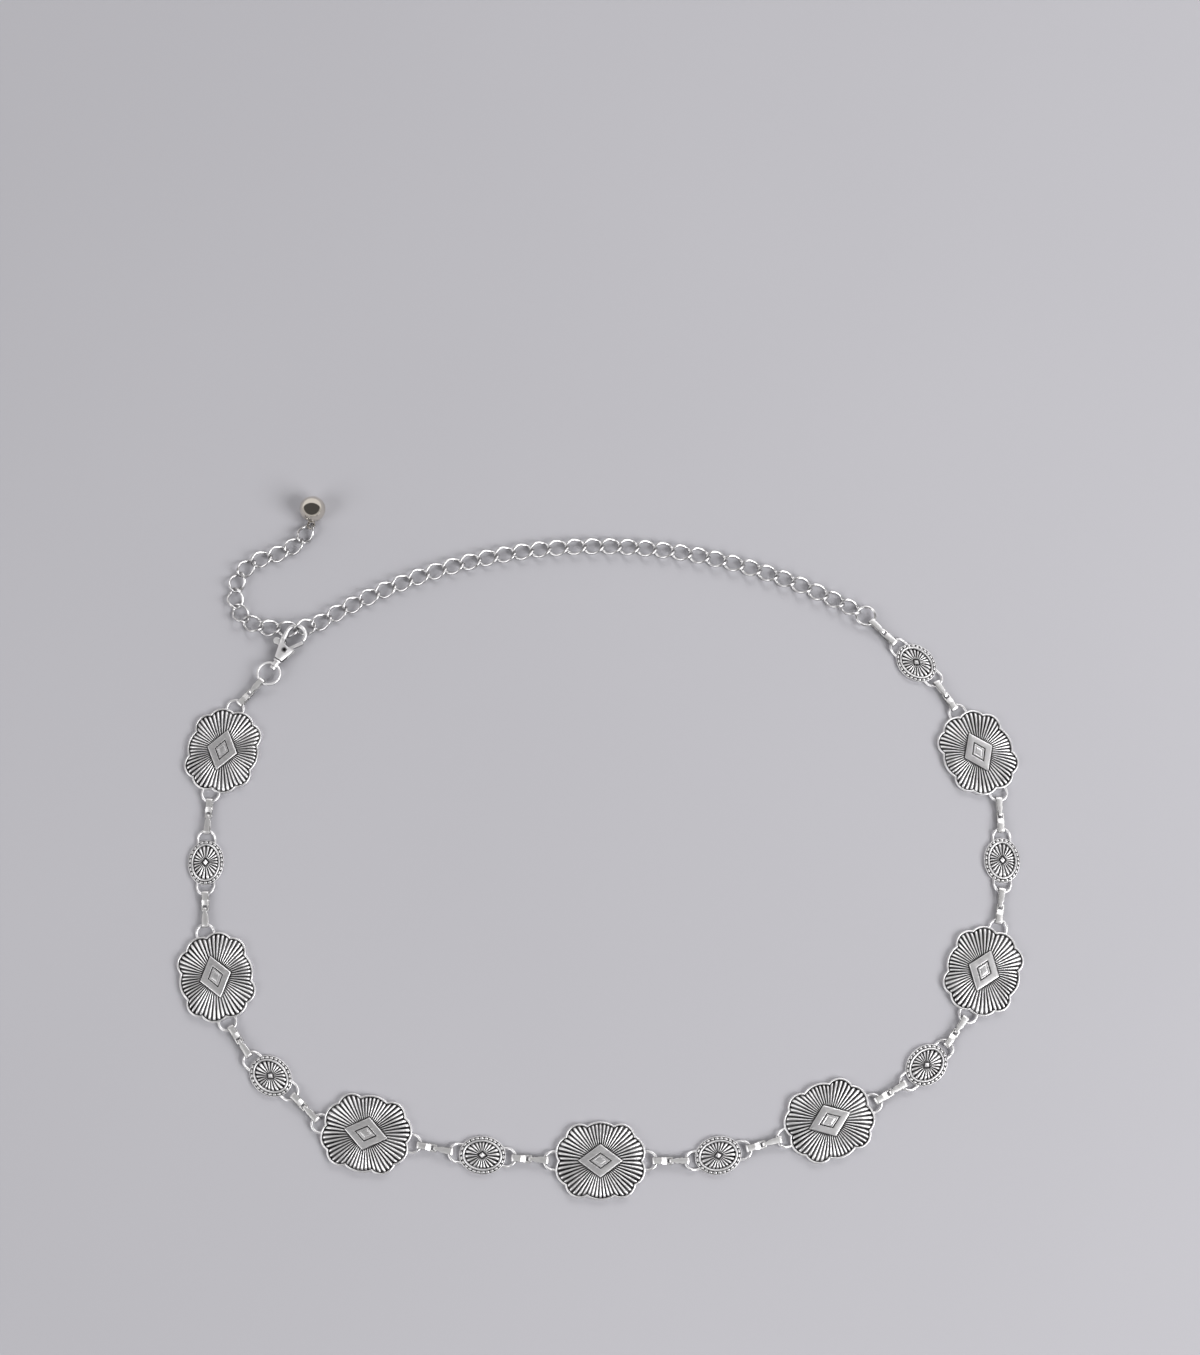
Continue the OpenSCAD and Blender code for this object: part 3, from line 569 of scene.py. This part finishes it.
def smallRows(look, turn):
    # thin edge under the beads, raised oval ring, sunburst, dark square and the middle point; the first table holds
    # (distance inwards, height, darkening), the last one (share of the square, height, darkening), and the edge is
    # darker towards its bottom
    length, width, border = look["length"], look["width"], look["border"]
    rows = []
    for inset, height, oxideAndShadeLevel in (
            (1.6, 0, 0.3), (0.4, 0, 0.2), (0.1, 0.06, 0.1), (0, 0.3, 0.1), (0, 1.2, 0),
            (0.06, 1.38, 0), (0.2, 1.46, 0), (0.34, 1.42, 0.5), (0.48, 1.3, 1), (border - 0.25, 1.3, 1),
            (border - 0.1, 1.6, 0.7), (border - 0.05, 1.95, 0.1), (border + 0.06, 2.15, 0),
            (border + 0.25, 2.2, 0), (border + 0.5, 2.18, 0), (border + 0.7, 2.05, 0.1),
            (border + 0.8, 1.75, 0.8), (border + 0.86, 1.45, 1), (border + 1.0, 1.4, 1)):
        rows.append((ovalRadius(turn, length - 2 * inset, width - 2 * inset), height, 0, oxideAndShadeLevel))
    edge = 2 * border + look["burstInset"]
    burst = ovalRadius(turn, length - edge, width - edge)
    grown = look["squareBorder"]
    square = rhombusRadius(turn, look["pointLength"] + grown, look["pointWidth"] + grown)
    innerFrom, innerOver = look["innerOxideAndShade"]
    for t in (0, 0.03, 0.08, 0.15, 0.25, 0.35, 0.45, 0.55, 0.65, 0.75, 0.85, 0.93, 1.0):
        tip = float(eased(np.array(t / look["tipShare"])))
        height = look["burstFloor"] + (look["burstRise"] + look["burstDome"] * t) * (0.3 + 0.7 * tip)
        oxideAndShadeLevel = look["innerDark"] * float(eased(np.array((t - innerFrom) / innerOver)))
        rows.append((burst + t * (square - burst), height, 1.0 if t < 0.95 else 0.6, oxideAndShadeLevel))
    for scale, height, oxideAndShadeLevel in ((0.86, 2.1, 1), (0.72, 2.12, 1), (0.68, 2.35, 0.6), (0.6, 2.6, 0),
                                 (0.42, 2.85, 0), (0.2, look["point"] - 0.05, 0), (0.08, look["point"], 0)):
        rows.append((scale * square, height, 0, oxideAndShadeLevel))
    return rows


def loopMesh(name, look):
    # round wire that stands out of the plate's end and runs back into it on both sides
    radius, high, low = endLoop["radius"], endLoop["height"], look["loopSink"]
    middle = look["length"] / 2 + look["loopOut"] - radius
    foot = look["length"] / 2 - look["loopBack"]
    path = []
    for a in np.linspace(-math.pi / 2, math.pi / 2, endLoop["steps"]):
        rise = float(eased(np.array(endLoop["rise"] * math.cos(a))))
        path.append((middle + radius * math.cos(a), radius * math.sin(a), low + (high - low) * rise))
    path = [(foot, -radius, low)] + path + [(foot, radius, low)]
    return tubeMesh(name, [Vector(p) * mm for p in path], endLoop["wire"] / 2 * mm, endLoop["sides"])


def conchoMesh(name, look, rowsOf, fluteTree, beadTree=None):
    count = look["flutes"] * look["stepsPerFlute"]
    turn = fullTurn(count)
    base = plateMesh(name, rowsOf(look, turn), turn)
    silver = metals["antiqueSilverPlate"]
    plate = runTree(base, fluteTree, {
        "Flutes": look["flutes"], "Flute Height": look["fluteHeight"] * mm,
        "Roundness": look["roundness"], "Groove Patina": 1.0, "Material": silver})
    softShading(plate, plateCrease)
    parts = [plate]
    if beadTree:
        ovalLength, ovalWidth = [(look[k] - 2 * look["beadInset"]) * mm for k in ("length", "width")]
        parts.append(runTree(meshFrom("beadStart", [(0, 0, 0)], []), beadTree, {
            "Beads": look["beads"], "Oval Length": ovalLength, "Oval Width": ovalWidth,
            "Height": look["beadHeight"] * mm, "Bead Size": [s * mm for s in look["beadSize"]],
            "Foot Shade": look["footShade"], "Material": silver}))
    for side in (0, math.pi):
        loop = loopMesh(name + "Loop", look)
        loop.transform(Matrix.Rotation(side, 4, "Z"))
        parts.append(loop)
    return joinedMesh(name, parts)


fluteTree, beadTree = fluteReliefTree(), beadBorderTree()
for kind, look, rowsOf, beads in (
        ("large", largeConcho, largeRows, None), ("small", smallConcho, smallRows, beadTree)):
    pattern = conchoMesh(kind + "Concho", look, rowsOf, fluteTree, beads)
    for number in range(1, conchosOfAKind + 1):
        node = f"{kind}_concho_{number}"
        mesh = pattern.copy()
        mesh.transform(conchoPlace(node, look["loopsFrom"]))
        showPiece(node + "_relief", mesh, metals["antiqueSilverPlate"], "belt", "concho_silver", node)
    print(kind, "conchos:", len(pattern.polygons), "faces each")


# Band links and clasp: the frame's own solids with their edges rounded over

turned = {
    "swivel_ring": {"edge": 0.08, "darkWithin": 0}, "clasp_rivet": {"edge": 0.1, "darkWithin": 0.6},
    "segments": 2, "sharpAbove": 32, "profile": 0.6, "flatWithin": 1.5, "softBelow": 38,
}
paintedShade = {  # how strongly creases get painted shade, and the slope below which a side gets painted shade
    "turnedCreases": 4, "castCreases": 14, "paintedShadeTerm": 0.2, "side": 0.75, "sideBelow": 0.5, "sideOver": 0.4,
}


def roundedMesh(name, node, width, darkWithin):
    # a merged copy of a solid with its sharp edges bevelled, as turned metal has them; a rivet is painted dark
    # inside its rim as the shade in its hole, and other pieces get painted shade in creases and on their sides
    shape = bmesh.new()
    shape.from_mesh(nodes[node].data)
    bmesh.ops.remove_doubles(shape, verts=shape.verts, dist=mergeWithin)
    bmesh.ops.dissolve_limit(shape, angle_limit=math.radians(turned["flatWithin"]),
                             verts=shape.verts, edges=shape.edges)
    limit = math.radians(turned["sharpAbove"])
    sharp = [e for e in shape.edges if len(e.link_faces) == 2 and e.calc_face_angle(0) > limit]
    bmesh.ops.bevel(shape, geom=sharp, offset=width * mm, offset_type="OFFSET", segments=turned["segments"],
                    profile=turned["profile"], affect="EDGES", clamp_overlap=True)
    bmesh.ops.triangulate(shape, faces=[f for f in shape.faces if len(f.verts) > 4])
    # painted shade: the middle of the rivet, inside its rim, is painted dark as its shaded hole
    if darkWithin:
        middle = sum((v.co for v in shape.verts), Vector()) / len(shape.verts)
        paintedShadeValues = [1.0 if (v.co - middle).xy.length < darkWithin * mm else 0.0 for v in shape.verts]
    else:
        paintedShadeValues = paintedShadeOf(shape, paintedShade["turnedCreases"])
    mesh = bpy.data.meshes.new(name)
    shape.to_mesh(mesh)
    shape.free()
    mesh.attributes.new("oxideAndShade", "FLOAT", "POINT").data.foreach_set("value", paintedShadeValues)
    softShading(mesh, turned["softBelow"])
    return mesh


def castMesh(name, node, voxel, smoothing, crown=None):
    # metal with flowing edges: the solid is remeshed finely, smoothed, and domed by "crown", a function
    # of a point and its normal
    merged = bmesh.new()
    merged.from_mesh(nodes[node].data)
    bmesh.ops.remove_doubles(merged, verts=merged.verts, dist=mergeWithin)
    start = bpy.data.meshes.new(name + "Start")
    merged.to_mesh(start)
    merged.free()
    base = bpy.data.objects.new(name, start)
    bpy.context.scene.collection.objects.link(base)
    remesh = base.modifiers.new("remesh", "REMESH")
    remesh.mode, remesh.voxel_size = "VOXEL", voxel * mm
    smooth = base.modifiers.new("smooth", "SMOOTH")
    smooth.iterations, smooth.factor = smoothing, 0.5
    depsgraph = bpy.context.evaluated_depsgraph_get()
    depsgraph.update()
    mesh = bpy.data.meshes.new_from_object(base.evaluated_get(depsgraph), depsgraph=depsgraph)
    bpy.data.objects.remove(base)
    if crown:
        moved = [crown(vert.co, vert.normal) for vert in mesh.vertices]  # all read before any is moved
        for vert, place in zip(mesh.vertices, moved):
            vert.co = place
    shape = bmesh.new()
    shape.from_mesh(mesh)
    # painted shade in the creases and on the sides of the cast piece
    paintedShadeValues = paintedShadeOf(shape, paintedShade["castCreases"])
    shape.free()
    mesh.attributes.new("oxideAndShade", "FLOAT", "POINT").data.foreach_set("value", paintedShadeValues)
    mesh.shade_smooth()
    return mesh


def paintedShadeOf(shape, strength):
    # painted shade: darker where the neighbours stand above the surface, in grooves and inner corners, and on the
    # sides, which face less upwards than the face
    shape.normal_update()
    paintedShadeValues = []
    for vert in shape.verts:
        rise = [(e.other_vert(vert).co - vert.co).normalized().dot(vert.normal) for e in vert.link_edges]
        creaseShade = strength * sum(rise) / max(len(rise), 1) - paintedShade["paintedShadeTerm"]
        side = paintedShade["side"] * float(eased(np.array((paintedShade["sideBelow"] - vert.normal.z) / paintedShade["sideOver"])))
        paintedShadeValues.append(min(1.0, max(creaseShade, side)))
    return paintedShadeValues


clasp = {
    "turn": 57.0, "slotThick": 1.8, "crown": 0.6, "voxel": 0.11, "hookSmoothing": 5, "leverSmoothing": 4,
    "back": -5.2, "middleLine": (0.15, 0.017), "halfWidth": (2.05, 0.273), "domeTo": 1.0, "domeFade": 3.5,
}
low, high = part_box("clasp_rivet")
claspMiddle = (low + high) / 2
claspTurn = Matrix.Rotation(math.radians(clasp["turn"]), 3, "Z")


def domedBody(point, normal):
    # the wedge is thickest along its middle line, and the hook's wire keeps its round section
    local = claspTurn.transposed() @ (Vector(point) - claspMiddle) / mm
    along = local.x - clasp["back"]
    middleStart, middleRise = clasp["middleLine"]
    widthStart, widthRise = clasp["halfWidth"]
    share = (local.y - middleStart - middleRise * along) / (widthStart + widthRise * along)
    fade = 1 - float(eased(np.array((local.x - clasp["domeTo"]) / clasp["domeFade"]))) if along > 0 else 0.0
    wall = abs(local.z) - clasp["slotThick"] / 2
    if wall > 0:
        local.z -= math.copysign(wall * clasp["crown"] * fade * min(1.0, share * share), local.z)
    return claspMiddle + claspTurn @ local * mm


bandStrip = {"pairs": 15, "crown": 0.24, "voxel": 0.12, "smoothing": 3, "widen": 1.16}


def domedStrip(node):
    # a drawn strip is thickest along its middle, so both of its faces sink towards its edges
    points = nodePoints(node)
    middle = (points.min(0) + points.max(0)) / 2
    axes = np.linalg.eigh(np.cov((points - middle)[:, :2].T))[1]  # the shortest direction comes first
    across, middle = Vector((*axes[:, 0], 0.0)), Vector(middle)
    reach = max(abs((Vector(p) - middle).dot(across)) for p in points)

    def dome(point, normal):
        share = (Vector(point) - middle).dot(across) / reach
        out = Vector(normal) - across * Vector(normal).dot(across)
        wider = across * (share * reach * (bandStrip["widen"] - 1))  # makes up for what smoothing takes off
        return Vector(point) + wider - out * (bandStrip["crown"] * mm * share * share)
    return dome


for number in range(1, bandStrip["pairs"] + 1):
    for kind in ("slotted_link", "looped_link"):
        node = f"{kind}_{number}"
        mesh = castMesh(node + "Strip", node, bandStrip["voxel"], bandStrip["smoothing"], domedStrip(node))
        showPiece(node + "_strip", mesh, metals["bentStripPlate"], "belt", "link_silver", node)
for node, body, smoothing, crown in (("clasp_hook", "belt", clasp["hookSmoothing"], domedBody),
                                     ("clasp_lever", "lever", clasp["leverSmoothing"], None)):
    mesh = castMesh(node + "Cast", node, clasp["voxel"], smoothing, crown)
    showPiece(node + "_cast", mesh, metals["castClaspPlate"], body, "clasp_silver", node)
for node, finish, slot in (("clasp_rivet", "turnedRivetSteel", "rivet_silver"),
                           ("swivel_ring", "castClaspPlate", "clasp_silver")):
    mesh = roundedMesh(node + "Turned", node, turned[node]["edge"], turned[node]["darkWithin"])
    showPiece(node + "_cast", mesh, metals[finish], "belt", slot, node)
print("band links and clasp rounded")


# Curb chain, tail and end ring

# the bend and side amounts are painted shade, where the links overlap and on the wire's sides
curbChain = {
    "length": 10.1, "width": 7.25, "wire": 1.15, "twist": -45.0, "steps": 44, "sides": 12,
    "bendShade": 0.45, "sideShade": 0.6, "lift": 0.12,  # the lift keeps every wire above the floor
}
linksTree = curbLinksTree()
for node in ("chain", "tail_chain"):
    places = linkPlaces(node)
    lift = Vector((0, 0, curbChain["lift"] * mm))
    start = meshFrom(node + "Places", [p + lift for p, lie in places], [])
    start.attributes.new("lie", "FLOAT_VECTOR", "POINT").data.foreach_set(
        "vector", [c for p, lie in places for c in lie])
    mesh = runTree(start, linksTree, {
        "Link Length": curbChain["length"] * mm, "Link Width": curbChain["width"] * mm,
        "Wire": curbChain["wire"] * mm, "Twist": math.radians(curbChain["twist"]),
        "Steps": curbChain["steps"], "Sides": curbChain["sides"],
        "Bend Shade": curbChain["bendShade"], "Side Shade": curbChain["sideShade"],
        "Material": metals["tumbledWirePlate"]})
    showPiece(node + "_links", mesh, metals["tumbledWirePlate"], "belt", "chain_silver", node)
    print(node, "links:", len(places))

endRing = {"radius": 4.6, "wire": 1.25, "steps": 72, "sides": 16}
low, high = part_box("end_ring")
ringMiddle = (low + high) / 2
ringPath = [ringMiddle + Vector((math.cos(a), math.sin(a), 0)) * endRing["radius"] * mm
            for a in fullTurn(endRing["steps"])]
showPiece("end_ring_wire", tubeMesh("endRingWire", ringPath, endRing["wire"] / 2 * mm, endRing["sides"], True),
          metals["tumbledWirePlate"], "belt", "chain_silver", "end_ring")


# Ball drop

ballDrop = {
    "diameter": 12.6, "segments": 96, "rings": 64, "fitAbove": 0.55,
    "collar": 3.6, "collarSteps": ((-0.4, 0), (0.05, 0), (0.22, 0.08), (0.3, 0.35)), "collarSides": 40,
    "eyeRadius": 1.8, "eyeWire": 0.9, "eyeSteps": 48, "eyeSides": 16, "eyeBeyond": 1.2, "twist": 45.0,
}


def ballMesh():
    # the ball is fitted to the upper half of its solid, and the eye points to the solid's far points
    points = nodePoints("ball_drop") / mm
    upper = points[points[:, 2] > ballDrop["diameter"] * ballDrop["fitAbove"]]
    system = np.c_[2 * upper, np.ones(len(upper))]
    middle = Vector(np.linalg.lstsq(system, (upper ** 2).sum(1), rcond=None)[0][:3])
    radius = ballDrop["diameter"] / 2
    away = points - np.array(middle)
    far = away[np.linalg.norm(away, axis=1) > radius + ballDrop["eyeBeyond"]]
    toEye = Vector((far.max(0) + far.min(0)) / 2).normalized()
    across = Vector((0, 0, 1)).cross(toEye).normalized()
    turn = Matrix((toEye, across, toEye.cross(across))).transposed().to_4x4()
    shape = bmesh.new()
    bmesh.ops.create_uvsphere(shape, u_segments=ballDrop["segments"], v_segments=ballDrop["rings"], radius=radius,
                              matrix=Matrix.Rotation(math.pi / 2, 4, "Y"))
    sphere = bpy.data.meshes.new("ballSphere")
    shape.to_mesh(sphere)
    shape.free()
    sphere.shade_smooth()
    neck = ballDrop["collar"] / 2
    collar = tubeMesh("ballCollar", [(radius + out, 0, 0) for out, less in ballDrop["collarSteps"]],
                      [neck - less for out, less in ballDrop["collarSteps"]], ballDrop["collarSides"])
    lean = math.radians(90 + ballDrop["twist"])
    eyePath = []
    for a in fullTurn(ballDrop["eyeSteps"]):
        flat = Vector((ballDrop["eyeRadius"] * math.cos(a), ballDrop["eyeRadius"] * math.sin(a), 0))
        eyePath.append(Matrix.Rotation(lean, 3, "X") @ flat + Vector((radius + ballDrop["eyeRadius"], 0, 0)))
    eye = tubeMesh("ballEye", eyePath, ballDrop["eyeWire"] / 2, ballDrop["eyeSides"], True)
    mesh = joinedMesh("ball", [sphere, collar, eye])
    mesh.transform(Matrix.Scale(mm, 4) @ Matrix.Translation(middle) @ turn)
    return mesh


ball = showPiece("ball_drop_shell", ballMesh(), metals["buffedBallPlate"], "belt", "ball_silver", "ball_drop")
print("ball drop made")


# Floor, light and camera

studio = {
    "floorReach": 1.4, "floorSides": 96, "floorColour": "#ABAAAF", "floorShade": "#A5A4A9",
    "floorRoughness": 0.85, "cloudScale": 3.0, "cloudDetail": 2.0, "roomColour": "#F6F4F4", "roomDark": 0.1,
    "wallBright": 0.95, "wallEdge": 36.0, "wallSoft": (-0.04, 0.06),
    "skirtBright": 0.62, "skirtTop": 16.0, "skirtSoft": 0.03,
    "aim": (0.0, 0.6, 0.0),
}
softboxes = {  # place and size in metres, then watts
    "softboxRight": ((1.85, -0.75, 1.5), (1.5, 1.35), 72),
    "softboxLeft": ((-2.4, -1.1, 1.95), (2.1, 1.9), 52),
    "softboxBack": ((1.1, 2.2, 1.5), (1.8, 1.0), 30),
}
camera = {"place": (-0.2, -5.4, 860.4), "tilt": 15.0, "lens": 55.5, "sensor": 36.0, "clip": (0.01, 20)}


def floorMaterial():
    # smooth paper sweep: matt, with only a trace of tone
    material = bpy.data.materials.new("paperSweep")
    material.use_nodes = True
    tree = material.node_tree
    shader = tree.nodes["Principled BSDF"]
    where = addNode(tree, "ShaderNodeTexCoord").outputs["Object"]
    cloud = addNode(tree, "ShaderNodeTexNoise", {
        "Vector": where, "Scale": studio["cloudScale"], "Detail": studio["cloudDetail"]})
    tone = addNode(tree, "ShaderNodeMix", {
        0: cloud.outputs["Fac"], 6: linearColour(studio["floorShade"]), 7: linearColour(studio["floorColour"])},
        data_type="RGBA")
    tree.links.new(tone.outputs[2], shader.inputs["Base Color"])
    shader.inputs["Roughness"].default_value = studio["floorRoughness"]
    return material


floorEdge = [(studio["floorReach"] * math.cos(a), studio["floorReach"] * math.sin(a), 0)
             for a in fullTurn(studio["floorSides"])]
floor = bpy.data.objects.new("floor", meshFrom("floor", floorEdge, [tuple(range(studio["floorSides"]))]))
floor.data.materials.append(floorMaterial())
bpy.context.scene.collection.objects.link(floor)

# a dark room with one bright wall to the north and a pale skirt all round below eye level
world = bpy.data.worlds.new("studioRoom")
bpy.context.scene.world = world
world.use_nodes = True
roomTree = world.node_tree
roomTree.nodes.clear()
sky = addNode(roomTree, "ShaderNodeTexCoord").outputs["Generated"]
edge = math.radians(studio["wallEdge"])
past = addNode(roomTree, "ShaderNodeVectorMath", {0: sky, 1: (0, math.cos(edge), -math.sin(edge))},
               operation="DOT_PRODUCT").outputs["Value"]
wallFrom, wallFull = studio["wallSoft"]
wall = addNode(roomTree, "ShaderNodeMapRange", {
    "Value": past, "From Min": wallFrom, "From Max": wallFull,
    "To Min": studio["roomDark"], "To Max": studio["wallBright"]}, interpolation_type="SMOOTHSTEP")
skirtTop = math.sin(math.radians(studio["skirtTop"]))
height = addNode(roomTree, "ShaderNodeSeparateXYZ", {0: sky}).outputs["Z"]
skirt = addNode(roomTree, "ShaderNodeMapRange", {
    "Value": height, "From Min": skirtTop + studio["skirtSoft"], "From Max": skirtTop - studio["skirtSoft"],
    "To Min": studio["roomDark"], "To Max": studio["skirtBright"]}, interpolation_type="SMOOTHSTEP")
brightest = mathStep(roomTree, "MAXIMUM", wall.outputs[0], skirt.outputs[0])
room = addNode(roomTree, "ShaderNodeBackground", {
    "Color": linearColour(studio["roomColour"]), "Strength": brightest})
addNode(roomTree, "ShaderNodeOutputWorld", {"Surface": room.outputs[0]})


# the mirror-bright ball is flagged off from the softboxes and shows only the room
flagged = bpy.data.collections.new("flaggedBall")
flagged.objects.link(ball)
flagged.collection_objects[0].light_linking.link_state = "EXCLUDE"
for name, (place, size, power) in softboxes.items():
    lamp = bpy.data.lights.new(name, "AREA")
    lamp.shape = "RECTANGLE"
    lamp.size, lamp.size_y = size
    lamp.energy = power
    light = bpy.data.objects.new(name, lamp)
    light.location = place
    light.rotation_euler = (Vector(studio["aim"]) - Vector(place)).to_track_quat("-Z", "Y").to_euler()
    bpy.context.scene.collection.objects.link(light)
    light.light_linking.receiver_collection = flagged

lens = bpy.data.cameras.new("camera")
lens.sensor_fit = "HORIZONTAL"
lens.sensor_width = camera["sensor"]
lens.lens = camera["lens"]
lens.clip_start, lens.clip_end = camera["clip"]
eye = bpy.data.objects.new("camera", lens)
eye.location = Vector(camera["place"]) * mm
eye.rotation_euler = (math.radians(camera["tilt"]), 0, 0)
bpy.context.scene.collection.objects.link(eye)
bpy.context.scene.camera = eye
bpy.context.scene.view_settings.view_transform = "Standard"
print("floor, lights and camera set")
